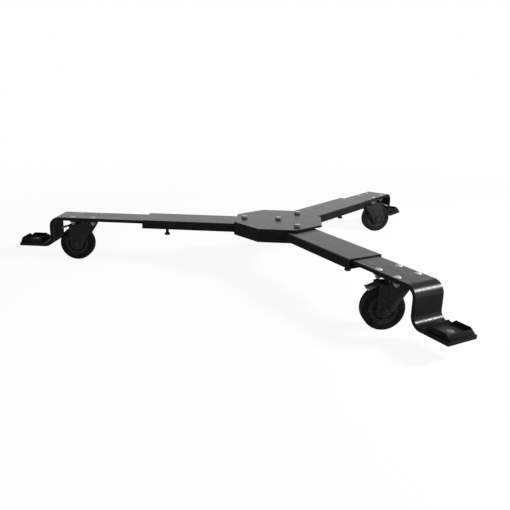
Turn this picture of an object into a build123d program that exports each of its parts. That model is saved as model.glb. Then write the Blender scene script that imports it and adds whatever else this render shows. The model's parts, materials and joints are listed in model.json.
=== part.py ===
from build123d import *
import os

# A three-arm dolly for a grand piano. Millimetres, +Z up, the floor at z = 0 and the hub's axis
# at x = y = 0. The left arm points along -X; the front and back arms spread to either side of +X.

# Arms: directions, how far each bar is drawn out, and which way each caster trails (degrees from +X)
arm_spread = 113.0
left_drawn_out = 86.5
front_drawn_out = 13.5
back_drawn_out = 92.5
arm_angles = {"left": 180.0, "front": -arm_spread / 2, "back": arm_spread / 2}
bar_drawn_out = {"left": left_drawn_out, "front": front_drawn_out, "back": back_drawn_out}
trail_heading = {"left": 183.0, "front": 190.0, "back": 18.0}

# Clearances
bolt_hole_gap = 0.4          # radial, bolt in a plain hole
thread_gap = 0.05            # radial, screw in its nut
running_gap = 0.05           # radial, turning pieces on a pin, sleeve or ball
press_gap = 0.03             # radial, tyre on core and rivet in its hole
swivel_play = 0.2            # kingpin's lower head under the fork
tail_past_nut = 3.0          # screw end standing out of a nut

# Wheel
wheel_diameter = 101.6
tyre_width = 31.75
tyre_shoulder = 5.0
tyre_depth = 14.3
rim_depth = 11.5
rim_width = 28.0
core_hub_radius = 19.5
core_hub_length = 35.0
core_web = 14.0
sleeve_radius = 7.15
axle_diameter = 9.525
axle_head_flats = 14.3
axle_head_height = 6.35
axle_nut_height = 5.6

# Caster fork and swivel
trail = 30.0                 # swivel axis to axle
leg_thick = 3.175
leg_side_gap = 1.55          # wheel hub to leg
leg_lead = 28.0              # leg's top corner ahead of the swivel axis
leg_boss_radius = 17.5
leg_heel = 8.0               # depth of the leg's upright heel behind the brake pin
crown_gap = 6.275            # wheel top to crown
crown_thick = 3.175
crown_radius = 29.0
rim_wall = 2.1
rim_rise = 4.95
ball_diameter = 6.35
ball_count = 16
ball_ring_gap = 3.0          # balls to the edge of the dish
dish_depth = 9.5             # dish below the top of the caster plate
dish_radius = 26.0
caster_plate_thick = 3.175
kingpin_diameter = 12.7
kingpin_head_radius = 11.0
kingpin_head_height = 4.0
kingpin_foot_radius = 10.0
kingpin_foot_height = 3.0

# Brake
pedal_slope = 25.0           # degrees below level, released
brake_travel = 10.0          # degrees from released to pressed
brake_shoe_gap = 0.4         # shoe to tyre when pressed
brake_pin_diameter = 6.35
brake_pin_behind = 10.0      # brake pin behind the axle
brake_pin_rise = 5.9         # brake pin above the wheel's top
brake_pin_head_radius = 5.0
brake_pin_head_height = 2.0
pedal_barrel_wall = 1.6
pedal_barrel_gap = 1.5       # barrel to leg
pedal_thick = 3.0
pedal_reach = 32.0           # pin to the pedal's tip
pedal_side_gap = 5.0         # pedal to leg
pedal_lip = 5.0              # lip above the pedal's underside
shoe_behind = 12.0           # shoe behind the brake pin
shoe_thick = 6.0

# Extension bar and foot
bar_width = 82.55
bar_thick = 9.525
bar_edge = 1.0
bend_inside_radius = 19.05
drop = 82.55                 # bar's underside to the foot's underside
wheel_wall_gap = 9.675       # swinging wheel to the bar's drop
caster_bolt_diameter = 7.9375
caster_plate_side = 76.2
caster_bolt_inset = 7.9375   # bolt to the edge of the caster plate
caster_bolt_head_radius = 8.75
caster_bolt_head_height = 3.2
caster_nut_flats = 12.7
caster_nut_height = 6.75

# Foot cup
cup_length = 61.9125         # along the bar
cup_inset = 4.7625           # cup's side to the bar's edge
cup_heel_gap = 14.25         # cup to the lower bend
cup_end_gap = 1.5875
cup_thick = 3.175
cup_height = 12.7
cup_notch = 12.0
rivet_radius = 4.0
rivet_head_radius = 8.0
rivet_foot_radius = 8.0
rivet_foot_height = 3.0

# Arm tube and clamp
bar_side_gap = 6.35
bar_slack = 9.525            # room under the bar inside the tube
tube_wall = 3.175
tube_corner = 3.0
tube_inside_corner = 1.5
tube_length = 349.25
back_tube_extra = 57.15      # back tube longer than the others
tube_tail = 50.8             # tube past its hub bolt, towards the hub's axis
bar_stop_gap = 9.79375       # hub bolt to the bar's end, bar pushed right in
mouth_to_plate = 61.4        # left and front tubes' mouths to the caster plate, bar pushed right in
clamp_setback = 63.5         # clamp screw inside the tube's mouth
back_clamp_extra = 19.05     # back clamp screw deeper in its tube than the others
clamp_diameter = 9.525
clamp_head_flats = 14.2875
clamp_head_height = 6.35
clamp_stand = 22.25          # clamp screw's head below the tube
clamp_nut_flats = 17.4625
clamp_nut_height = 8.33

# Hub
hub_flats = 254.0
hub_plate_thick = 6.35
hub_plate_edge = 0.8
hub_bolt_inset = 25.4        # left arm's bolt to the hub's flat
hub_bolt_diameter = 11.1125
hub_bolt_head_flats = 15.875
hub_bolt_head_height = 7.14375
hub_nut_height = 9.525
bottom_plate_cutback = 31.75
hub_wall_thick = 4.7625
hub_wall_gap = 1.0           # hub wall to an arm tube
hub_sides = 8
hex_sides = 6

# Heights
wheel_radius = wheel_diameter / 2
crown_under = wheel_diameter + crown_gap
crown_top = crown_under + crown_thick
dish_under = crown_top + ball_diameter + 2 * running_gap
bar_under = dish_under + dish_depth
bar_top = bar_under + bar_thick
foot_under = bar_under - drop
foot_top = foot_under + bar_thick
tube_height = bar_thick + bar_slack + 2 * tube_wall
tube_top = bar_top + tube_wall
tube_under = tube_top - tube_height
hub_top = tube_top + hub_plate_thick
hub_under = tube_under - hub_plate_thick

# Distances along an arm from the hub's axis
hub_bolt_radius = hub_flats / 2 - hub_bolt_inset
tube_start = hub_bolt_radius - tube_tail
tube_mouth = tube_start + tube_length
tube_extra = {"left": 0.0, "front": 0.0, "back": back_tube_extra}
clamp_extra = {"left": 0.0, "front": 0.0, "back": back_clamp_extra}
bar_stop = hub_bolt_radius + hub_bolt_diameter / 2 + bar_stop_gap
caster_setback = bar_thick + wheel_wall_gap + wheel_radius + trail
bar_length = tube_mouth + mouth_to_plate + caster_plate_side / 2 + caster_setback - bar_stop
tube_width = bar_width + 2 * (bar_side_gap + tube_wall)

# Foot and cup
cup_width = bar_width - 2 * cup_inset
cup_from_drop = bend_inside_radius + cup_heel_gap + cup_length / 2
foot_length = cup_from_drop + cup_length / 2 + cup_end_gap

# Caster, seen along its axle: "behind" is the way the wheel trails
caster_bolt_offset = caster_plate_side / 2 - caster_bolt_inset
leg_inside = core_hub_length / 2 + leg_side_gap
leg_outside = leg_inside + leg_thick
brake_pin_place = trail + brake_pin_behind
brake_pin_height = wheel_diameter + brake_pin_rise
heel_place = brake_pin_place + leg_heel
pedal_barrel_radius = brake_pin_diameter / 2 + running_gap + pedal_barrel_wall


def cylinder_up(radius, height, base):
    """A cylinder on the Z axis, standing on z = base."""
    return Pos(0, 0, base) * extrude(Circle(radius), height)


def cylinder_across(radius, width):
    """A cylinder on the Y axis, centred on the origin."""
    return extrude(Plane.XZ * Circle(radius), width / 2, both=True)


def hexagon_up(flats, height, base):
    """A hexagonal prism on the Z axis, standing on z = base."""
    outline = RegularPolygon(flats / 2, hex_sides, major_radius=False)
    return Pos(0, 0, base) * extrude(outline, height)


def hex_bolt(diameter, length, head_flats, head_height):
    """A bolt hanging down from z = 0, with its head above."""
    return cylinder_up(diameter / 2, length, -length) + hexagon_up(head_flats, head_height, 0)


def hex_nut(screw_diameter, flats, height):
    """A nut below z = 0, for a screw on the Z axis."""
    bore = cylinder_up(screw_diameter / 2 + thread_gap, height, -height)
    return hexagon_up(flats, height, -height) - bore


def on_arm(arm, shape):
    """Turns a piece drawn along +X into the arm's direction."""
    return Rot(0, 0, arm_angles[arm]) * shape


def clamp_place(arm):
    """Distance from the hub's axis to the arm's clamp screw."""
    return tube_mouth + tube_extra[arm] - clamp_setback - clamp_extra[arm]


def drop_place(arm):
    """Distance from the hub's axis to the outer face of the bar's drop."""
    return bar_stop + bar_drawn_out[arm] + bar_length


def on_caster(arm, shape):
    """Sets a piece drawn about the swivel axis, trailing along +X, under the arm's bar."""
    place = Vector(drop_place(arm) - caster_setback, 0, 0).rotate(Axis.Z, arm_angles[arm])
    return Pos(*place) * Rot(0, 0, trail_heading[arm]) * shape


def corner_places():
    """The four caster bolts' places about the swivel axis."""
    return [(x, y) for x in (-caster_bolt_offset, caster_bolt_offset)
            for y in (-caster_bolt_offset, caster_bolt_offset)]


def group(solids):
    """Several loose pieces of one kind, kept together."""
    return Compound(children=list(solids))


# Hub
def hub_bolt_places():
    places = [Vector(0, 0, 0)]
    for angle in arm_angles.values():
        places.append(Vector(hub_bolt_radius, 0, 0).rotate(Axis.Z, angle))
    return places


def hub_octagon(flats):
    return RegularPolygon(flats / 2, hub_sides, major_radius=False, rotation=180 / hub_sides)


def hub_plate(base, reach):
    """An eight-sided plate, cut off at x = reach, with a hole for each hub bolt."""
    outline = hub_octagon(hub_flats) & Pos(reach - hub_flats, 0) * Rectangle(2 * hub_flats, 2 * hub_flats)
    plate = Pos(0, 0, base) * extrude(outline, hub_plate_thick)
    plate = fillet(plate.edges(), hub_plate_edge)
    hole = cylinder_up(hub_bolt_diameter / 2 + bolt_hole_gap, hub_plate_thick, base)
    for place in hub_bolt_places():
        plate -= Pos(*place) * hole
    return plate


def hub_walls():
    """The upright walls between the plates, from the left arm round to the front and back arms."""
    ring = extrude(hub_octagon(hub_flats) - hub_octagon(hub_flats - 2 * hub_wall_thick), tube_height)
    way_through = Box(hub_flats, tube_width + 2 * hub_wall_gap, tube_height,
                      align=(Align.MIN, Align.CENTER, Align.MIN))
    for angle in arm_angles.values():
        ring -= Rot(0, 0, angle) * way_through
    left_side = [wall for wall in ring.solids() if wall.center().X < 0]
    return [Pos(0, 0, tube_under) * wall for wall in left_side]


def hub_bolts():
    length = hub_top - hub_under + hub_nut_height + tail_past_nut
    bolt = hex_bolt(hub_bolt_diameter, length, hub_bolt_head_flats, hub_bolt_head_height)
    return [Pos(place.X, place.Y, hub_top) * bolt for place in hub_bolt_places()]


def hub_nuts():
    nut = hex_nut(hub_bolt_diameter, hub_bolt_head_flats, hub_nut_height)
    return [Pos(place.X, place.Y, hub_under) * nut for place in hub_bolt_places()]


# Arm tube and clamp
def arm_tube(arm):
    inside_width = tube_width - 2 * tube_wall
    inside_height = tube_height - 2 * tube_wall
    section = RectangleRounded(tube_width, tube_height, tube_corner)
    section -= RectangleRounded(inside_width, inside_height, tube_inside_corner)
    tube = extrude(Plane.YZ * section, tube_length + tube_extra[arm])
    tube = Pos(tube_start, 0, (tube_top + tube_under) / 2) * tube
    bolt_hole = cylinder_up(hub_bolt_diameter / 2 + bolt_hole_gap, tube_height, tube_under)
    screw_hole = cylinder_up(clamp_diameter / 2 + bolt_hole_gap, tube_wall, tube_under)
    return tube - Pos(hub_bolt_radius, 0, 0) * bolt_hole - Pos(clamp_place(arm), 0, 0) * screw_hole


def clamp_nut(arm):
    nut = hex_nut(clamp_diameter, clamp_nut_flats, clamp_nut_height)
    return Pos(clamp_place(arm), 0, tube_under) * nut


def clamp_screw(arm):
    """A hex screw standing head down, its end against the bar."""
    head_top = tube_under - clamp_stand
    shank = cylinder_up(clamp_diameter / 2, bar_under - head_top, head_top)
    head = hexagon_up(clamp_head_flats, clamp_head_height, head_top - clamp_head_height)
    return Pos(clamp_place(arm), 0, 0) * (shank + head)


# Extension bar, foot cup and their fasteners
def extension_bar(arm):
    """A flat bar that runs out level, drops, and turns out again into a foot."""
    outer_face = drop_place(arm)
    level = bar_under + bar_thick / 2
    low_level = foot_under + bar_thick / 2
    upright = outer_face - bar_thick / 2
    corners = [(outer_face - bar_length, 0, level), (upright, 0, level),
               (upright, 0, low_level), (outer_face + foot_length, 0, low_level)]
    path = FilletPolyline(*corners, radius=bend_inside_radius + bar_thick / 2)
    start = Plane(origin=corners[0], x_dir=(0, 0, 1), z_dir=(1, 0, 0))
    bar = sweep(start * RectangleRounded(bar_thick, bar_width, bar_edge), path=path)
    bolt_hole = cylinder_up(caster_bolt_diameter / 2 + bolt_hole_gap, bar_thick, bar_under)
    for x, y in corner_places():
        bar -= Pos(outer_face - caster_setback + x, y, 0) * bolt_hole
    rivet_hole = cylinder_up(rivet_radius + press_gap, bar_thick, foot_under)
    return bar - Pos(outer_face + cup_from_drop, 0, 0) * rivet_hole


def cup_flap(length, distance):
    """A flap along X with cut corners, its outer face at y = -distance."""
    half = length / 2
    outline = Polyline((-half, 0), (half, 0), (half, cup_thick), (half - cup_notch, cup_height),
                       (cup_notch - half, cup_height), (-half, cup_thick), close=True)
    return Pos(0, cup_thick - distance, 0) * extrude(Plane.XZ * make_face(outline), cup_thick)


def foot_cup(arm):
    """An oblong dish with four flaps, notched at its corners and countersunk in the middle."""
    cup = Box(cup_length, cup_width, cup_thick, align=(Align.CENTER, Align.CENTER, Align.MIN))
    for turn in (0, 180):
        cup += Rot(0, 0, turn) * cup_flap(cup_length, cup_width / 2)
        cup += Rot(0, 0, turn + 90) * cup_flap(cup_width, cup_length / 2)
    sink = Cone(rivet_radius + press_gap, rivet_head_radius + press_gap, cup_thick,
                align=(Align.CENTER, Align.CENTER, Align.MIN))
    return Pos(drop_place(arm) + cup_from_drop, 0, foot_top) * (cup - sink)


def cup_rivet(arm):
    """A flush rivet through the cup and the foot, with a low head under the foot."""
    head = Cone(rivet_radius, rivet_head_radius, cup_thick,
                align=(Align.CENTER, Align.CENTER, Align.MIN))
    shank = cylinder_up(rivet_radius, bar_thick, -bar_thick)
    foot = cylinder_up(rivet_foot_radius, rivet_foot_height, -bar_thick - rivet_foot_height)
    foot = fillet(foot.faces().sort_by(Axis.Z)[0].edges(), rivet_foot_height / 2)
    return Pos(drop_place(arm) + cup_from_drop, 0, foot_top) * (head + shank + foot)


def caster_bolts(arm):
    """Round-headed bolts through the bar and the caster plate."""
    length = bar_thick + caster_plate_thick + caster_nut_height + tail_past_nut
    cap_radius = (caster_bolt_head_radius ** 2 + caster_bolt_head_height ** 2) / (2 * caster_bolt_head_height)
    dome = Pos(0, 0, caster_bolt_head_height - cap_radius) * Sphere(cap_radius)
    dome &= cylinder_up(caster_bolt_head_radius, caster_bolt_head_height, 0)
    bolt = cylinder_up(caster_bolt_diameter / 2, length, -length) + dome
    centre = drop_place(arm) - caster_setback
    return [Pos(centre + x, y, bar_top) * bolt for x, y in corner_places()]


def caster_nuts(arm):
    nut = hex_nut(caster_bolt_diameter, caster_nut_flats, caster_nut_height)
    centre = drop_place(arm) - caster_setback
    return [Pos(centre + x, y, bar_under - caster_plate_thick) * nut for x, y in corner_places()]


# Caster swivel
def caster_plate():
    """A square plate with a dish pressed down in its middle for the kingpin's head."""
    plate = Box(caster_plate_side, caster_plate_side, caster_plate_thick,
                align=(Align.CENTER, Align.CENTER, Align.MAX))
    dish_floor = caster_plate_thick - dish_depth
    plate += cylinder_up(dish_radius, dish_depth, -dish_depth)
    plate -= cylinder_up(dish_radius - caster_plate_thick, -dish_floor, dish_floor)
    plate -= cylinder_up(kingpin_diameter / 2 + press_gap, caster_plate_thick, -dish_depth)
    hole_radius = caster_bolt_diameter / 2 + bolt_hole_gap
    bolt_hole = cylinder_up(hole_radius, caster_plate_thick, -caster_plate_thick)
    for x, y in corner_places():
        plate -= Pos(x, y, 0) * bolt_hole
    return Pos(0, 0, bar_under) * plate


def swivel_balls():
    ball_circle = dish_radius - ball_ring_gap - ball_diameter / 2
    ball = Pos(ball_circle, 0, crown_top + running_gap + ball_diameter / 2) * Sphere(ball_diameter / 2)
    return [Rot(0, 0, 360 * turn / ball_count) * ball for turn in range(ball_count)]


def kingpin():
    """A rivet from the plate's dish down through the fork's crown."""
    seat = dish_under + caster_plate_thick
    foot_top_face = crown_under - swivel_play
    pin = cylinder_up(kingpin_diameter / 2, seat - foot_top_face, foot_top_face)
    pin += cylinder_up(kingpin_head_radius, kingpin_head_height, seat)
    return pin + cylinder_up(kingpin_foot_radius, kingpin_foot_height, foot_top_face - kingpin_foot_height)


# Caster fork, axle and wheel
def caster_fork():
    """A crown that turns about the kingpin, with two legs slanting back to the axle."""
    boss = Pos(trail, wheel_radius) * Circle(leg_boss_radius)
    top_corners = Polyline((-leg_lead, crown_top), (heel_place, crown_top),
                           (heel_place, brake_pin_height - leg_heel), (-leg_lead, crown_top - crown_thick),
                           close=True)
    leg = extrude(Plane.XZ * make_hull(boss.edges() + top_corners.edges()), leg_thick)
    fork = Pos(0, leg_outside, 0) * leg + Pos(0, -leg_inside, 0) * leg
    crown_length = 2 * leg_lead
    crown = Box(crown_length, 2 * leg_outside, crown_thick, align=(Align.CENTER, Align.CENTER, Align.MIN))
    fork += Pos(0, 0, crown_under) * crown
    fork += cylinder_up(crown_radius, crown_thick + rim_rise, crown_under)
    fork -= cylinder_up(crown_radius - rim_wall, rim_rise, crown_top)
    fork -= cylinder_up(kingpin_diameter / 2 + running_gap, crown_thick, crown_under)
    width = 2 * leg_outside
    fork -= Pos(trail, 0, wheel_radius) * cylinder_across(axle_diameter / 2 + bolt_hole_gap, width)
    pin_hole = cylinder_across(brake_pin_diameter / 2 + press_gap, width)
    return fork - Pos(brake_pin_place, 0, brake_pin_height) * pin_hole


def axle_bolt():
    """A hex bolt across the fork, its head outside the near leg."""
    length = 2 * leg_outside + axle_nut_height + tail_past_nut
    bolt = hex_bolt(axle_diameter, length, axle_head_flats, axle_head_height)
    return Pos(trail, -leg_outside, wheel_radius) * Rot(90, 0, 0) * bolt


def axle_nut():
    nut = hex_nut(axle_diameter, axle_head_flats, axle_nut_height)
    return Pos(trail, leg_outside, wheel_radius) * Rot(90, 0, 0) * nut


def axle_sleeve():
    """The tube that the wheel turns on, held between the legs."""
    sleeve = cylinder_across(sleeve_radius, 2 * leg_inside)
    sleeve -= cylinder_across(axle_diameter / 2 + running_gap, 2 * leg_inside)
    return Pos(trail, 0, wheel_radius) * sleeve


def wheel_core():
    """A hub, a thin web and a rim."""
    core_radius = wheel_radius - tyre_depth - press_gap
    core = cylinder_across(core_radius, rim_width)
    core -= cylinder_across(core_radius - rim_depth, rim_width)
    core += cylinder_across(core_radius - rim_depth, core_web)
    core += cylinder_across(core_hub_radius, core_hub_length)
    core -= cylinder_across(sleeve_radius + running_gap, core_hub_length)
    return Pos(trail, 0, wheel_radius) * core


def wheel_tyre():
    tyre = fillet(cylinder_across(wheel_radius, tyre_width).edges().filter_by(GeomType.CIRCLE), tyre_shoulder)
    tyre -= cylinder_across(wheel_radius - tyre_depth, tyre_width)
    return Pos(trail, 0, wheel_radius) * tyre


# Brake
def brake_pin():
    """A headed pin across the fork's heel."""
    pin = cylinder_across(brake_pin_diameter / 2, 2 * leg_outside)
    head = cylinder_across(brake_pin_head_radius, brake_pin_head_height)
    head_place = leg_outside + brake_pin_head_height / 2
    pin += Pos(0, head_place, 0) * head
    pin += Pos(0, -head_place, 0) * head
    return Pos(brake_pin_place, 0, brake_pin_height) * pin


def brake_pedal():
    """A lever on the brake pin, released, whose shoe meets the tyre when it is pressed."""
    barrel_width = 2 * (leg_inside - pedal_barrel_gap)
    lever = cylinder_across(pedal_barrel_radius, barrel_width)
    width = 2 * (leg_inside - pedal_side_gap)
    arm_base = pedal_barrel_radius - pedal_thick
    lever += Pos(0, 0, arm_base) * Box(pedal_reach, width, pedal_thick,
                                       align=(Align.MIN, Align.CENTER, Align.MIN))
    lever += Pos(pedal_reach, 0, arm_base) * Box(pedal_thick, width, pedal_lip,
                                                 align=(Align.MAX, Align.CENTER, Align.MIN))
    shoe = Pos(shoe_behind, 0, arm_base) * Box(shoe_thick, tyre_width - 2 * tyre_shoulder, wheel_radius,
                                               align=(Align.CENTER, Align.CENTER, Align.MAX))
    axle_from_pin = Pos(-brake_pin_behind, 0, wheel_radius - brake_pin_height)
    pressed = Rot(0, pedal_slope + brake_travel, 0)
    shoe -= pressed.inverse() * axle_from_pin * cylinder_across(wheel_radius + brake_shoe_gap, tyre_width)
    lever += shoe
    lever -= cylinder_across(brake_pin_diameter / 2 + running_gap, barrel_width)
    return Pos(brake_pin_place, 0, brake_pin_height) * Rot(0, pedal_slope, 0) * lever


def save(name, shape):
    export_step(shape, f"parts/{name}.step")


os.makedirs("parts", exist_ok=True)

save("hub_top_plate", hub_plate(tube_top, hub_flats / 2))
save("hub_bottom_plate", hub_plate(hub_under, hub_flats / 2 - bottom_plate_cutback))
save("hub_walls", group(hub_walls()))
save("hub_bolts", group(hub_bolts()))
save("hub_nuts", group(hub_nuts()))
save("clamp_nuts", group(on_arm(arm, clamp_nut(arm)) for arm in arm_angles))

for arm in arm_angles:
    save(f"{arm}_arm_tube", on_arm(arm, arm_tube(arm)))
    save(f"{arm}_clamp_screw", on_arm(arm, clamp_screw(arm)))
    save(f"{arm}_extension_bar", on_arm(arm, extension_bar(arm)))
    save(f"{arm}_foot_cup", on_arm(arm, foot_cup(arm)))
    save(f"{arm}_cup_rivet", on_arm(arm, cup_rivet(arm)))
    save(f"{arm}_caster_bolts", group(on_arm(arm, bolt) for bolt in caster_bolts(arm)))
    save(f"{arm}_caster_nuts", group(on_arm(arm, nut) for nut in caster_nuts(arm)))
    plate_place = Pos(drop_place(arm) - caster_setback, 0, 0)
    save(f"{arm}_caster_plate", on_arm(arm, plate_place * caster_plate()))
    save(f"{arm}_swivel_balls", group(on_caster(arm, ball) for ball in swivel_balls()))
    save(f"{arm}_kingpin", on_caster(arm, kingpin()))
    save(f"{arm}_caster_fork", on_caster(arm, caster_fork()))
    save(f"{arm}_axle_bolt", on_caster(arm, axle_bolt()))
    save(f"{arm}_axle_nut", on_caster(arm, axle_nut()))
    save(f"{arm}_axle_sleeve", on_caster(arm, axle_sleeve()))
    save(f"{arm}_wheel_core", on_caster(arm, wheel_core()))
    save(f"{arm}_wheel_tyre", on_caster(arm, wheel_tyre()))
    save(f"{arm}_brake_pin", on_caster(arm, brake_pin()))
    save(f"{arm}_brake_pedal", on_caster(arm, brake_pedal()))
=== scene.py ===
import json
import math
from collections import namedtuple

import bmesh
import bpy
from mathutils import Matrix, Vector


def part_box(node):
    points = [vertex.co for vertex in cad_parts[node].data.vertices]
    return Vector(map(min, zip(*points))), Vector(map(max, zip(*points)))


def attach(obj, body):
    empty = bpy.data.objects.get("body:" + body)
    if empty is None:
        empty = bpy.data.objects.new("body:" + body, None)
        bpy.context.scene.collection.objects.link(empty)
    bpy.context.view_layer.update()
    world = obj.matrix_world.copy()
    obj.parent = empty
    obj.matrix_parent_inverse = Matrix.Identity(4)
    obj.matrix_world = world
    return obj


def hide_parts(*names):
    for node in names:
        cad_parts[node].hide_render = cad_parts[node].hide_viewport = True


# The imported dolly: metres, +Z up, the floor at z = 0, the hub's axis at x = y = 0
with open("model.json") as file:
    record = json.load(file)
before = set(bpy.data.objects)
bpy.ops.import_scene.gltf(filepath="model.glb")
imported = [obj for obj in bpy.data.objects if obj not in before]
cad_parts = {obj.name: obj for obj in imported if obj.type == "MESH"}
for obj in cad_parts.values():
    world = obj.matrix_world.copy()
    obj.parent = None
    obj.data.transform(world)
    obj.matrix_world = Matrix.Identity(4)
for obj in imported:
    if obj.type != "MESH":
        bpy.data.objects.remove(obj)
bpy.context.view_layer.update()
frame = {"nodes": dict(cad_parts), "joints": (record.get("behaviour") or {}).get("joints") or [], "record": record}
nodes = frame["nodes"]
joints = {joint["name"]: joint for joint in frame["joints"]}
mounts = {mount["name"]: mount["pos_m"] for mount in frame["record"]["mounts"]}
arms = ("left", "front", "back")
arm_turns = {}
for arm in arms:
    along = joints[f"{arm}_bar_slide"]["axis"]
    arm_turns[arm] = math.atan2(along[1], along[0])

# Fasteners: width across flats, height of the head, radius and pitch of the thread
Bolt = namedtuple("Bolt", "flats head radius pitch")
hub_bolt = Bolt(flats=0.015875, head=0.00714375, radius=0.00555625, pitch=0.0018)
clamp_bolt = Bolt(flats=0.0142875, head=0.00635, radius=0.0047625, pitch=0.0016)
axle_bolt = Bolt(flats=0.0143, head=0.00635, radius=0.0047625, pitch=0.0016)
caster_radius, caster_pitch = 0.00396875, 0.0014
hub_thread, axle_thread, caster_thread = 0.022, 0.012, 0.012
clamp_thread_share = 0.95
clamp_nut_flats, caster_nut_flats = 0.0174625, 0.0127
dome_radius, dome_height = 0.00875, 0.0032
pin_head_radius, pin_head_height, pin_radius = 0.005, 0.002, 0.003175
washer_face = 0.0004
nut_flare = 0.0006
thread_gap = 0.00005
thread_depth, tail_depth, thread_runout = 0.55, 0.7, 1 / 3  # in pitches
chamfer_share, chamfer_slope = 0.475, 0.58
dimple_rim, dimple_floor = 0.6, 0.55  # shares of the chamfer's inner radius

# Wheel
wheel_radius, tyre_half_width, tyre_shoulder, tyre_bore = 0.0508, 0.015875, 0.005, 0.0365
bead_bevel, tread_edge = 0.0006, 0.0012
groove_start, groove_end, groove_slope, groove_depth = 0.0393, 0.0409, 0.0004, 0.0005
core_radius, rim_half_width, rim_bore, web_half_width = 0.03647, 0.014, 0.02497, 0.007
core_hub_radius, core_hub_half, core_bore = 0.0195, 0.0175, 0.0072
hub_rounding, bore_bevel, web_fillet, rim_bevel, seat_bevel = 0.002, 0.0008, 0.0015, 0.0012, 0.0008

# Roundings of sheet and plate
cup_rounding, plate_rounding, fork_rounding, pedal_rounding = 0.0009, 0.0006, 0.0007, 0.0006

# Mesh fineness; angles in degrees
segments = 48
wheel_segments = 120
rings_per_thread = 8
arc_steps = 6
turned_crease, moulded_crease = 32.0, 40.0
flat_angle = 1.0
weld_reach = 1e-6
# hub bolt faces whose normal rises less than this take the darker zinc as painted shade
painted_shade_limit = 0.5


# Materials
class Tree:
    """Shader nodes whose inputs are given as numbers or as other nodes' outputs."""

    def __init__(self, tree):
        self.tree = tree

    def node(self, kind, inputs=None, **settings):
        made = self.tree.nodes.new(kind)
        for key, value in settings.items():
            setattr(made, key, value)
        for key, value in (inputs or {}).items():
            self.put(made.inputs[key], value)
        return made

    def put(self, socket, value):
        if isinstance(value, bpy.types.NodeSocket):
            self.tree.links.new(value, socket)
        else:
            socket.default_value = value

    def spread(self, value, start, end, low, high, **settings):
        inputs = {"Value": value, "From Min": start, "From Max": end, "To Min": low, "To Max": high}
        return self.node("ShaderNodeMapRange", inputs, **settings).outputs["Result"]

    def smooth(self, value, start, end, low, high):
        return self.spread(value, start, end, low, high, interpolation_type="SMOOTHSTEP")

    def times(self, first, second):
        inputs = {0: first, 1: second}
        return self.node("ShaderNodeMath", inputs, operation="MULTIPLY").outputs["Value"]

    def seen_rays(self):
        """1 for rays from the camera and from glossy or clear surfaces, 0 for diffuse light."""
        path = self.node("ShaderNodeLightPath").outputs
        total = path["Is Camera Ray"]
        for ray in ("Is Glossy Ray", "Is Transmission Ray"):
            inputs = {0: total, 1: path[ray]}
            added = self.node("ShaderNodeMath", inputs, operation="ADD", use_clamp=True)
            total = added.outputs["Value"]
        return total


class Surface(Tree):
    """A material made of nodes that take their pattern from the object's own coordinates."""

    def __init__(self, name):
        self.material = bpy.data.materials.new(name)
        self.material.use_nodes = True
        super().__init__(self.material.node_tree)
        self.shader = self.tree.nodes["Principled BSDF"]
        self.points = self.node("ShaderNodeTexCoord").outputs["Object"]

    def noise(self, scale, detail=3.0, points=None):
        inputs = {"Vector": points or self.points, "Scale": scale, "Detail": detail}
        return self.node("ShaderNodeTexNoise", inputs).outputs["Fac"]

    def stretched(self, turn, stretch):
        """Coordinates turned about Z and squeezed that way, for marks that run along an arm."""
        inputs = {"Vector": self.points, "Rotation": (0.0, 0.0, -turn)}
        turned = self.node("ShaderNodeMapping", inputs).outputs["Vector"]
        inputs = {"Vector": turned, "Scale": (stretch, 1.0, 1.0)}
        return self.node("ShaderNodeMapping", inputs).outputs["Vector"]

    def mixed(self, share, first, second):
        inputs = {0: share, 6: first, 7: second}
        return self.node("ShaderNodeMix", inputs, data_type="RGBA").outputs[2]

    def contrast(self, pattern, low=0.0, high=1.0):
        """A noise from low to high that reaches both often."""
        return self.spread(pattern, start=0.35, end=0.65, low=low, high=high)

    def uneven(self, pattern, low, high):
        """A noise from low to high that reaches both seldom."""
        return self.spread(pattern, start=0.3, end=0.7, low=low, high=high)

    def edges(self, reach):
        """1 along a piece's edges, 0 on its open faces."""
        rounded = self.node("ShaderNodeBevel", {"Radius": reach}).outputs["Normal"]
        true = self.node("ShaderNodeNewGeometry").outputs["Normal"]
        inputs = {0: rounded, 1: true}
        alike = self.node("ShaderNodeVectorMath", inputs, operation="DOT_PRODUCT")
        return self.spread(alike.outputs["Value"], start=0.995, end=0.9, low=0.0, high=1.0)

    def chipped(self, color, bare, reach, pattern, start=0.45, end=0.6, most=0.5):
        """A colour that gives way to a bare one along a piece's edges, where the noise is high."""
        share = self.times(self.edges(reach), self.spread(pattern, start, end, low=0.0, high=most))
        return self.mixed(share, color, bare)

    def patched_about(self, color, bare, centre, reach):
        """A colour that gives way in patches to another one about a point of the piece: bare steel on a pedal, and
        on a cup's floor wear and painted highlight.
        """
        inputs = {0: self.points, 1: centre}
        away = self.node("ShaderNodeVectorMath", inputs, operation="DISTANCE").outputs["Value"]
        patchy = self.contrast(self.noise(scale=260.0, detail=4.0), low=0.35, high=1.0)
        fading = self.spread(away, start=0.2 * reach, end=reach, low=1.0, high=0.0)
        share = self.times(fading, patchy)
        return self.mixed(share, color, bare)

    def upward(self):
        """1 on the faces that look up, 0 on upright faces and undersides."""
        normal = self.node("ShaderNodeNewGeometry").outputs["Normal"]
        rise = self.node("ShaderNodeSeparateXYZ", {"Vector": normal}).outputs["Z"]
        return self.spread(rise, start=0.1, end=0.4, low=0.0, high=1.0)

    def bump(self, height, distance, strength):
        inputs = {"Height": height, "Distance": distance, "Strength": strength}
        normal = self.node("ShaderNodeBump", inputs).outputs["Normal"]
        self.put(self.shader.inputs["Normal"], normal)

    def finish(self, color, roughness, metallic=0.0, specular=0.5):
        self.put(self.shader.inputs["Base Color"], color)
        self.put(self.shader.inputs["Roughness"], roughness)
        self.put(self.shader.inputs["Metallic"], metallic)
        self.put(self.shader.inputs["Specular IOR Level"], specular)
        return self.material


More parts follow.
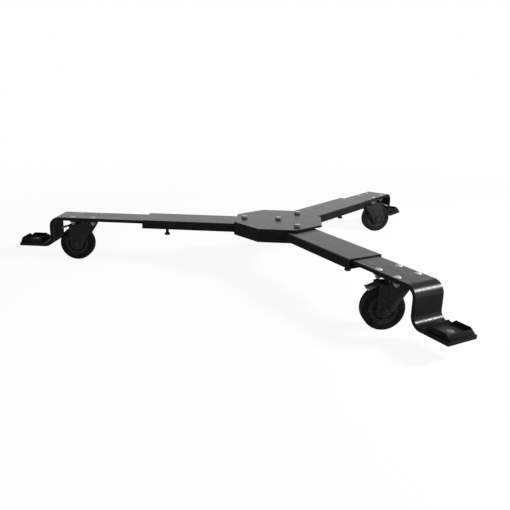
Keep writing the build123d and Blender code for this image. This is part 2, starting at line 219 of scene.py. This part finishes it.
def grey(level, warmth=0.0):
    return (level * (1.0 + warmth), level, level * (1.0 - warmth), 1.0)


def black_paint(name, rub_turn=None, lighter_patch_at=None):
    """Baked black paint with a fine grain, satin on the faces that look up and matt on the others.

    A bar has rub marks along its arm; a cup is matt all over, and its floor is lighter about the rivet, as wear
    and painted highlight.
    """
    paint = Surface(name)
    patches = paint.contrast(paint.noise(scale=14.0, detail=4.0))
    color = paint.mixed(patches, grey(0.003), grey(0.005, 0.02))
    chips = paint.noise(scale=160.0, detail=4.0)
    color = paint.chipped(color, grey(0.16, 0.03), reach=0.0012, pattern=chips,
                          start=0.5, end=0.62, most=0.55)
    flow = paint.noise(scale=55.0, detail=4.0)
    satin = paint.uneven(flow, low=0.27, high=0.33)
    roughness = paint.uneven(flow, low=0.88, high=1.0)
    if rub_turn is not None:
        rubs = paint.noise(scale=240.0, points=paint.stretched(rub_turn, stretch=0.02))
        satin = paint.times(satin, paint.contrast(rubs, low=0.85, high=1.2))
    if lighter_patch_at is not None:
        # a cup's floor lighter about its rivet: wear and painted highlight
        color = paint.patched_about(color, grey(0.05, 0.02), lighter_patch_at, reach=0.03)
    else:
        roughness = paint.spread(paint.upward(), start=0.0, end=1.0, low=roughness, high=satin)
    paint.bump(paint.noise(scale=1200.0, detail=2.0), distance=0.00003, strength=0.2)
    return paint.finish(color, roughness, specular=0.15)


def zinc_plate(name, dark, light):
    """Zinc plate, clouded and a little rough, duller along its edges."""
    zinc = Surface(name)
    clouds = zinc.contrast(zinc.noise(scale=260.0, detail=4.0))
    color = zinc.mixed(clouds, grey(dark, 0.015), grey(light, -0.01))
    dulled = zinc.noise(scale=900.0)
    color = zinc.chipped(color, grey(0.5 * dark, 0.04), reach=0.0006, pattern=dulled)
    roughness = zinc.uneven(zinc.noise(scale=420.0), low=0.55, high=0.7)
    zinc.bump(zinc.noise(scale=1500.0, detail=2.0), distance=0.00003, strength=0.5)
    return zinc.finish(color, roughness, metallic=1.0)


def dark_steel(name, lighter_patch_at=None):
    """Blackened steel, bare along its edges; a pedal is also bare where a shoe treads on it."""
    steel = Surface(name)
    mottle = steel.noise(scale=300.0, detail=5.0)
    color = steel.mixed(steel.contrast(mottle), grey(0.014), grey(0.028, 0.02))
    chips = steel.noise(scale=700.0)
    color = steel.chipped(color, grey(0.12), reach=0.0006, pattern=chips, most=0.8)
    if lighter_patch_at is not None:
        color = steel.patched_about(color, grey(0.4, 0.02), lighter_patch_at, reach=0.02)
    roughness = steel.uneven(steel.noise(scale=500.0), low=0.75, high=0.95)
    steel.bump(mottle, distance=0.00005, strength=0.6)
    return steel.finish(color, roughness, specular=0.08)


def wheel_core():
    """Moulded black plastic, scuffed along its edges."""
    core = Surface("wheel_core")
    flow = core.contrast(core.noise(scale=120.0, detail=4.0))
    color = core.mixed(flow, grey(0.015), grey(0.03, 0.02))
    scuffs = core.noise(scale=500.0)
    color = core.chipped(color, grey(0.12), reach=0.001, pattern=scuffs, start=0.48)
    roughness = core.uneven(core.noise(scale=300.0), low=0.8, high=1.0)
    core.bump(core.noise(scale=1300.0, detail=2.0), distance=0.00006, strength=0.6)
    return core.finish(color, roughness, specular=0.1)


def tyre_rubber(name, dark, light, rough):
    """Moulded rubber; the tread, which rolls on the floor, is dustier than the side walls."""
    rubber = Surface(name)
    clouds = rubber.noise(scale=45.0, detail=5.0)
    dust = rubber.spread(clouds, start=0.4, end=0.7, low=0.0, high=1.0)
    color = rubber.mixed(dust, grey(dark), grey(light, 0.04))
    roughness = rubber.uneven(rubber.noise(scale=200.0, detail=4.0), low=rough, high=rough + 0.15)
    rubber.bump(rubber.noise(scale=1100.0), distance=0.00008, strength=0.7)
    return rubber.finish(color, roughness, specular=0.05)


finishes = {"black_paint": black_paint("black_paint"),
            "bright_zinc": zinc_plate("bright_zinc", dark=0.36, light=0.46),
            "dark_steel": dark_steel("dark_steel"),
            "wheel_core": wheel_core(),
            "tyre_rubber": tyre_rubber("tyre_wall", dark=0.007, light=0.016, rough=0.8)}
tread = tyre_rubber("tyre_tread", dark=0.014, light=0.032, rough=0.82)
# a darker zinc: the plating of nuts and rivets, and painted shade on the hub bolts' sides
dull_zinc_and_painted_shade = zinc_plate("dull_zinc_and_painted_shade", dark=0.13, light=0.21)
bar_paint = {arm: black_paint(f"{arm}_bar_paint", rub_turn=arm_turns[arm]) for arm in arms}


# Meshes made of rings about an axis; each ring is a list of (radius, height)
def round_ring(radius, height, count=segments):
    return [(radius, height)] * count


def ring_turns(count):
    return [2 * math.pi * step / count for step in range(count)]


def hex_radius(flats, turn):
    """A hexagon's radius in the direction of turn, with a corner at turn 0."""
    side = math.pi / 3
    return flats / 2 / math.cos(turn % side - side / 2)


def hex_ring(flats, height):
    return [(hex_radius(flats, turn), height) for turn in ring_turns(segments)]


def chamfer_ring(flats, height, slope=chamfer_slope):
    """Where a hexagon's sides meet its chamfer: lowest at the corners, or highest for slope < 0."""
    inner = chamfer_share * flats
    return [(radius, height - slope * (radius - inner)) for radius, _ in hex_ring(flats, height)]


def thread_rings(radius, low, high, pitch):
    """A screw thread whose crests reach the radius."""
    depth = thread_depth * pitch
    steps = round((high - low) / pitch * rings_per_thread)
    rings = []
    for step in range(steps + 1):
        height = low + (high - low) * step / steps
        phases = [(height - low) / pitch - turn / (2 * math.pi) for turn in ring_turns(segments)]
        rings.append([(radius - depth * abs(2 * (phase % 1) - 1), height) for phase in phases])
    return rings


def threaded_end(radius, pitch, low, length):
    """The lower end of a shank, narrowed at its tip."""
    tip = [round_ring(radius - tail_depth * pitch, low)]
    return tip + thread_rings(radius, low + thread_runout * pitch, low + length, pitch)


def hex_head_rings(flats, base, top):
    """A bolt head with a round washer face under it and a shallow dimple on top."""
    inner = chamfer_share * flats
    side = base + washer_face
    return [round_ring(inner, base), round_ring(inner, side), hex_ring(flats, side),
            chamfer_ring(flats, top), round_ring(inner, top), round_ring(dimple_rim * inner, top),
            round_ring(dimple_floor * inner, top - washer_face)]


def bolt_rings(bolt, low, top, thread):
    """A hex bolt on the Z axis with its threaded end down."""
    seat = top - bolt.head
    runout = low + thread + thread_runout * bolt.pitch
    return (threaded_end(bolt.radius, bolt.pitch, low, thread)
            + [round_ring(bolt.radius, runout), round_ring(bolt.radius, seat)]
            + hex_head_rings(bolt.flats, seat, top))


def nut_rings(flats, radius, low, high):
    """A nut chamfered at both ends, as a closed loop of rings."""
    inner = chamfer_share * flats
    bore = radius + thread_gap
    flare = bore + nut_flare
    return [round_ring(inner, low), chamfer_ring(flats, low, -chamfer_slope),
            chamfer_ring(flats, high), round_ring(inner, high),
            round_ring(flare, high), round_ring(bore, high - nut_flare),
            round_ring(bore, low + nut_flare), round_ring(flare, low)]


def dome_rings(radius, height, base):
    """A low round head: a spherical cap on its base."""
    ball = (radius ** 2 + height ** 2) / (2 * height)
    steps = 2 * arc_steps
    rings = []
    for step in range(steps):
        reach = radius * math.cos(math.pi / 2 * step / steps)
        rings.append(round_ring(reach, base + math.sqrt(ball ** 2 - reach ** 2) - (ball - height)))
    return rings


def arc_points(centre, radius, start, end):
    """Points of an arc in a profile, angles in degrees from the profile's outward direction."""
    points = []
    for step in range(arc_steps + 1):
        angle = math.radians(start + (end - start) * step / arc_steps)
        points.append((centre[0] + radius * math.cos(angle), centre[1] + radius * math.sin(angle)))
    return points


def tyre_half():
    """The tyre's profile for z > 0, from its bore over a grooved side wall to the tread."""
    wall, groove = tyre_half_width, tyre_half_width - groove_depth
    shoulder = (wheel_radius - tyre_shoulder, tyre_half_width - tyre_shoulder)
    return [(tyre_bore, wall - bead_bevel), (tyre_bore + bead_bevel, wall),
            (groove_start, wall), (groove_start + groove_slope, groove),
            (groove_end - groove_slope, groove), (groove_end, wall),
            *arc_points(shoulder, tyre_shoulder, 90.0, 0.0)]


def core_half():
    """The core's profile for z > 0: its hub, a thin web and the rim under the tyre."""
    corner = (core_hub_radius - hub_rounding, core_hub_half - hub_rounding)
    return [(core_bore, core_hub_half - bore_bevel), (core_bore + bore_bevel, core_hub_half),
            *arc_points(corner, hub_rounding, 90.0, 0.0),
            (core_hub_radius, web_half_width + web_fillet),
            (core_hub_radius + web_fillet, web_half_width),
            (rim_bore - web_fillet, web_half_width), (rim_bore, web_half_width + web_fillet),
            (rim_bore, rim_half_width - rim_bevel), (rim_bore + rim_bevel, rim_half_width),
            (core_radius - seat_bevel, rim_half_width), (core_radius, rim_half_width - seat_bevel)]


def wheel_rings(half):
    """A closed loop of rings from a profile for z > 0 and its mirror image."""
    profile = half + [(radius, -height) for radius, height in reversed(half)]
    return [round_ring(radius, height, wheel_segments) for radius, height in profile]


def add_rings(mesh, place, rings, closed=False):
    """Skins a row of rings about the place's Z axis; a closed row joins its last to its first."""
    turns = ring_turns(len(rings[0]))
    rows = []
    for ring in rings:
        points = [Vector((radius * math.cos(turn), radius * math.sin(turn), height))
                  for (radius, height), turn in zip(ring, turns)]
        rows.append([mesh.verts.new(place @ point) for point in points])
    pairs = list(zip(rows, rows[1:]))
    if closed:
        pairs.append((rows[-1], rows[0]))
    else:
        mesh.faces.new(rows[0])
        mesh.faces.new(rows[-1])
    faces = []
    for near, far in pairs:
        for step in range(len(turns)):
            after = (step + 1) % len(turns)
            faces.append(mesh.faces.new((near[step], near[after], far[after], far[step])))
    return faces


# Pieces
def make_piece(name, mesh, body, slot, replaced, sharp=turned_crease, looks=None):
    """Turns a mesh into a piece on a body, in its slot's finish or in the materials given."""
    bmesh.ops.recalc_face_normals(mesh, faces=mesh.faces)
    data = bpy.data.meshes.new(name)
    mesh.to_mesh(data)
    mesh.free()
    data.polygons.foreach_set("use_smooth", [True] * len(data.polygons))
    data.set_sharp_from_angle(angle=math.radians(sharp))
    for material in looks or [finishes[slot]]:
        data.materials.append(material)
    piece = bpy.data.objects.new(name, data)
    bpy.context.scene.collection.objects.link(piece)
    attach(piece, body)
    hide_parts(replaced)


def ring_piece(name, place, rings, body, slot, replaced, closed=False, sharp=turned_crease):
    """A piece that is one row of rings."""
    mesh = bmesh.new()
    add_rings(mesh, place, rings, closed)
    make_piece(name, mesh, body, slot, replaced, sharp)


def welded_copy(node):
    mesh = bmesh.new()
    mesh.from_mesh(nodes[node].data)
    bmesh.ops.remove_doubles(mesh, verts=mesh.verts, dist=weld_reach)
    return mesh


def pressed_piece(node, body, slot, rounding, looks=None):
    """A node of sheet or plate with its sharp edges rounded."""
    mesh = welded_copy(node)
    bmesh.ops.dissolve_limit(mesh, angle_limit=math.radians(flat_angle),
                             verts=mesh.verts, edges=mesh.edges)
    crease = math.radians(moulded_crease)
    sharp = [edge for edge in mesh.edges if edge.is_manifold and edge.calc_face_angle() > crease]
    bmesh.ops.bevel(mesh, geom=sharp, offset=rounding, segments=2, profile=0.5, affect="EDGES",
                    clamp_overlap=True)
    make_piece(f"{node}_rounded", mesh, body, slot, node, moulded_crease, looks)


def solids_of(node):
    """The lowest and highest corner of each loose solid of a node."""
    mesh = welded_copy(node)
    loose = set(mesh.verts)
    boxes = []
    while loose:
        reached = [loose.pop()]
        for vert in reached:
            for edge in vert.link_edges:
                other = edge.other_vert(vert)
                if other in loose:
                    loose.remove(other)
                    reached.append(other)
        low = [min(vert.co[axis] for vert in reached) for axis in range(3)]
        high = [max(vert.co[axis] for vert in reached) for axis in range(3)]
        boxes.append((low, high))
    mesh.free()
    return sorted(boxes)


def upright(low, high):
    """The place of a solid's own Z axis."""
    return Matrix.Translation(((low[0] + high[0]) / 2, (low[1] + high[1]) / 2, 0.0))


def screw_place(arm, height):
    """The place of a clamp screw's axis, turned along its arm."""
    axis = Matrix.Translation((*joints[f"{arm}_screw_turn"]["pos_m"][:2], height))
    return axis @ Matrix.Rotation(arm_turns[arm], 4, "Z")


def joint_place(joint):
    """The joint's place with its axis as Z."""
    turned = Vector(joint["axis"]).to_track_quat("Z", "Y").to_matrix().to_4x4()
    return Matrix.Translation(joint["pos_m"]) @ turned


def reach_along(node, place):
    """How far a node reaches along the place's Z axis."""
    back = place.inverted()
    heights = [(back @ vert.co).z for vert in nodes[node].data.vertices]
    return min(heights), max(heights)


upside_down = Matrix.Rotation(math.pi, 4, "X")


def hub_bolts():
    """Bolts in bright zinc on the faces that look up and in a darker zinc elsewhere, as painted shade on their
    sides.
    """
    mesh = bmesh.new()
    for low, high in solids_of("hub_bolts"):
        rings = bolt_rings(hub_bolt, low[2], high[2], hub_thread)
        add_rings(mesh, upright(low, high), rings)
    bmesh.ops.recalc_face_normals(mesh, faces=mesh.faces)
    mesh.normal_update()
    for face in mesh.faces:
        # painted shade: faces that don't look up take the darker zinc
        face.material_index = int(face.normal.z < painted_shade_limit)
    make_piece("hub_bolt_set", mesh, "hub", "bright_zinc", "hub_bolts",
               looks=[finishes["bright_zinc"], dull_zinc_and_painted_shade])


def nut_set(name, node, body, flats, radius, turn=0.0):
    """A node's nuts, each with a corner in the direction of turn."""
    mesh = bmesh.new()
    for low, high in solids_of(node):
        place = upright(low, high) @ Matrix.Rotation(turn, 4, "Z")
        add_rings(mesh, place, nut_rings(flats, radius, low[2], high[2]), closed=True)
    make_piece(name, mesh, body, "bright_zinc", node, looks=[dull_zinc_and_painted_shade])


def clamp_nuts():
    low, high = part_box("clamp_nuts")
    rings = nut_rings(clamp_nut_flats, clamp_bolt.radius, low[2], high[2])
    mesh = bmesh.new()
    for arm in arms:
        add_rings(mesh, screw_place(arm, 0.0), rings, closed=True)
    make_piece("clamp_nut_set", mesh, "hub", "black_paint", "clamp_nuts")


def clamp_screw(arm):
    low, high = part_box(f"{arm}_clamp_screw")
    place = screw_place(arm, low[2] + high[2]) @ upside_down
    thread = clamp_thread_share * (high[2] - low[2] - clamp_bolt.head)
    rings = bolt_rings(clamp_bolt, low[2], high[2], thread)
    ring_piece(f"{arm}_clamp_screw_threaded", place, rings, f"{arm}_screw", "dark_steel",
               f"{arm}_clamp_screw")


def caster_fasteners(arm):
    bar = f"{arm}_bar"
    mesh = bmesh.new()
    for low, high in solids_of(f"{arm}_caster_bolts"):
        seat = high[2] - dome_height
        rings = threaded_end(caster_radius, caster_pitch, low[2], caster_thread)
        rings += [round_ring(caster_radius, seat)] + dome_rings(dome_radius, dome_height, seat)
        add_rings(mesh, upright(low, high), rings)
    make_piece(f"{arm}_caster_bolt_set", mesh, bar, "bright_zinc", f"{arm}_caster_bolts")
    nut_set(f"{arm}_caster_nut_set", f"{arm}_caster_nuts", bar, caster_nut_flats, caster_radius,
            arm_turns[arm])


def axle(arm):
    fork = f"{arm}_fork"
    place = joint_place(joints[f"{arm}_wheel_spin"])
    low, high = reach_along(f"{arm}_axle_nut", place)
    rings = nut_rings(axle_bolt.flats, axle_bolt.radius, low, high)
    ring_piece(f"{arm}_axle_nut_chamfered", place, rings, fork, "dark_steel", f"{arm}_axle_nut",
               closed=True)
    place = place @ upside_down
    low, high = reach_along(f"{arm}_axle_bolt", place)
    rings = bolt_rings(axle_bolt, low, high, axle_thread)
    ring_piece(f"{arm}_axle_bolt_threaded", place, rings, fork, "dark_steel", f"{arm}_axle_bolt")


def brake_pin(arm):
    """A pin with a domed head at each end."""
    place = joint_place(joints[f"{arm}_brake_press"])
    low, high = reach_along(f"{arm}_brake_pin", place)
    near, far = low + pin_head_height, high - pin_head_height
    head = dome_rings(pin_head_radius, pin_head_height, far)
    other = [[(radius, low + high - height) for radius, height in ring] for ring in reversed(head)]
    rings = other + [round_ring(pin_radius, near), round_ring(pin_radius, far)] + head
    ring_piece(f"{arm}_brake_pin_domed", place, rings, f"{arm}_fork", "dark_steel",
               f"{arm}_brake_pin")


def wheel(arm):
    """A tyre, with a tread and side walls of their own look, on its core."""
    body = f"{arm}_wheel"
    place = joint_place(joints[f"{arm}_wheel_spin"])
    back = place.inverted()
    mesh = bmesh.new()
    for face in add_rings(mesh, place, wheel_rings(tyre_half()), closed=True):
        middle = back @ face.calc_center_median()
        face.material_index = int(middle.xy.length > wheel_radius - tread_edge)
    make_piece(f"{arm}_tyre_moulded", mesh, body, "tyre_rubber", f"{arm}_wheel_tyre",
               moulded_crease, looks=[finishes["tyre_rubber"], tread])
    ring_piece(f"{arm}_core_moulded", place, wheel_rings(core_half()), body, "wheel_core",
               f"{arm}_wheel_core", closed=True, sharp=moulded_crease)


def pedal_tip(arm):
    """The pedal's point that lies furthest from its pin."""
    pin = Vector(joints[f"{arm}_brake_press"]["pos_m"])
    points = [vert.co for vert in nodes[f"{arm}_brake_pedal"].data.vertices]
    return max(points, key=lambda point: (point - pin).length)


def pressed_parts(arm):
    """Cup, caster plate, fork and pedal; the pedal is worn where a shoe treads on it, and the cup's floor is
    lighter about its rivet, as wear and painted highlight.
    """
    cup_paint_worn_and_highlit = black_paint(f"{arm}_cup_paint_worn_and_highlit", lighter_patch_at=mounts[f"{arm}_cup_floor"])
    pressed_piece(f"{arm}_foot_cup", f"{arm}_bar", "black_paint", cup_rounding, [cup_paint_worn_and_highlit])
    pressed_piece(f"{arm}_caster_plate", f"{arm}_bar", "dark_steel", plate_rounding)
    pressed_piece(f"{arm}_caster_fork", f"{arm}_fork", "dark_steel", fork_rounding)
    pedal_steel = dark_steel(f"{arm}_pedal_steel", lighter_patch_at=pedal_tip(arm))
    pressed_piece(f"{arm}_brake_pedal", f"{arm}_brake", "bright_zinc", pedal_rounding,
                  [pedal_steel])


def paint_node(node, material):
    nodes[node].data.materials.clear()
    nodes[node].data.materials.append(material)


hub_bolts()
nut_set("hub_nut_set", "hub_nuts", "hub", hub_bolt.flats, hub_bolt.radius)
clamp_nuts()
for node in ("hub_top_plate", "hub_bottom_plate", "hub_walls"):
    paint_node(node, finishes["black_paint"])

for arm in arms:
    clamp_screw(arm)
    caster_fasteners(arm)
    axle(arm)
    brake_pin(arm)
    wheel(arm)
    pressed_parts(arm)
    paint_node(f"{arm}_arm_tube", finishes["black_paint"])
    paint_node(f"{arm}_extension_bar", bar_paint[arm])
    paint_node(f"{arm}_cup_rivet", dull_zinc_and_painted_shade)
    paint_node(f"{arm}_kingpin", finishes["dark_steel"])
    paint_node(f"{arm}_swivel_balls", finishes["bright_zinc"])
    paint_node(f"{arm}_axle_sleeve", finishes["bright_zinc"])

# Studio: white floor and surroundings, a softbox high on the right and a wide dim panel behind
scene = bpy.context.scene
scene.view_settings.view_transform = "Standard"
world_light = 0.36  # the world's strength as a light; as a background it is 1
dimming_start, dimming_end, overhead_level = 0.3, 0.95, 0.7  # the sky's own height, from 0 to 1
floor_half, floor_color = 30.0, 0.9
shadow_reach, white_reach, glow_share = 0.9, 2.6, 0.92
aim = Vector((0.0, 0.0, 0.1))


def white_world():
    """White all round, a little darker overhead."""
    world = bpy.data.worlds.new("studio")
    scene.world = world
    world.use_nodes = True
    sky = Tree(world.node_tree)
    direction = sky.node("ShaderNodeTexCoord").outputs["Generated"]
    height = sky.node("ShaderNodeSeparateXYZ", {"Vector": direction}).outputs["Z"]
    level = sky.smooth(height, dimming_start, dimming_end, 1.0, overhead_level)
    channels = {"Red": level, "Green": level, "Blue": level}
    color = sky.node("ShaderNodeCombineColor", channels).outputs["Color"]
    background = sky.tree.nodes["Background"]
    sky.put(background.inputs["Color"], color)
    strength = sky.smooth(sky.seen_rays(), 0.0, 1.0, world_light, 1.0)
    sky.put(background.inputs["Strength"], strength)


def paper_floor():
    """White paper that keeps a faint shadow near the dolly and is pure white further out."""
    mesh = bmesh.new()
    bmesh.ops.create_grid(mesh, x_segments=8, y_segments=8, size=floor_half)
    data = bpy.data.meshes.new("floor")
    mesh.to_mesh(data)
    mesh.free()
    floor = bpy.data.objects.new("floor", data)
    scene.collection.objects.link(floor)
    material = bpy.data.materials.new("floor_paper")
    material.use_nodes = True
    paper = Tree(material.node_tree)
    paper.tree.nodes.remove(paper.tree.nodes["Principled BSDF"])
    diffuse = paper.node("ShaderNodeBsdfDiffuse", {"Color": grey(floor_color)}).outputs["BSDF"]
    glow = paper.node("ShaderNodeEmission", {"Color": grey(1.0)}).outputs["Emission"]
    place = paper.node("ShaderNodeTexCoord").outputs["Object"]
    away = paper.node("ShaderNodeVectorMath", {0: place}, operation="LENGTH").outputs["Value"]
    white = paper.smooth(away, shadow_reach, white_reach, glow_share, 1.0)
    share = paper.times(white, paper.seen_rays())
    both = paper.node("ShaderNodeMixShader", {0: share, 1: diffuse, 2: glow}).outputs["Shader"]
    paper.put(paper.tree.nodes["Material Output"].inputs["Surface"], both)
    data.materials.append(material)


def softbox(name, azimuth, elevation, distance, width, height, power, lean=0.0):
    """A rectangular lamp facing the dolly; degrees from +X, above the floor and from upright."""
    light = bpy.data.lights.new(name, "AREA")
    light.shape = "RECTANGLE"
    light.size = width
    light.size_y = height
    light.energy = power
    turn, rise = math.radians(azimuth), math.radians(elevation)
    level = math.cos(rise)
    toward = Vector((level * math.cos(turn), level * math.sin(turn), math.sin(rise)))
    lamp = bpy.data.objects.new(name, light)
    lamp.location = aim + distance * toward
    lamp.rotation_mode = "QUATERNION"
    lean_turn = Matrix.Rotation(math.radians(lean), 3, "Z").to_quaternion()
    lamp.rotation_quaternion = toward.to_track_quat("Z", "Y") @ lean_turn
    scene.collection.objects.link(lamp)


white_world()
paper_floor()
softbox("key_softbox", azimuth=-10.1, elevation=31.7, distance=2.72, width=0.6, height=0.3,
        power=100.0, lean=-37.0)
softbox("back_panel", azimuth=95.0, elevation=20.0, distance=3.6, width=4.0, height=1.2, power=6.0)

# Camera at the photograph's viewing angle; degrees to the left, down and anticlockwise
camera_place = (0.04395, -1.66801, 0.53414)
camera_turn, camera_dip, camera_roll = 3.829, 16.719, 1.25
lens = bpy.data.cameras.new("camera")
lens.lens = 40.458
lens.sensor_width = 36.0
camera = bpy.data.objects.new("camera", lens)
camera.matrix_world = (Matrix.Translation(camera_place)
                       @ Matrix.Rotation(math.radians(camera_turn), 4, "Z")
                       @ Matrix.Rotation(math.radians(90.0 - camera_dip), 4, "X")
                       @ Matrix.Rotation(math.radians(camera_roll), 4, "Z"))
scene.collection.objects.link(camera)
scene.camera = camera
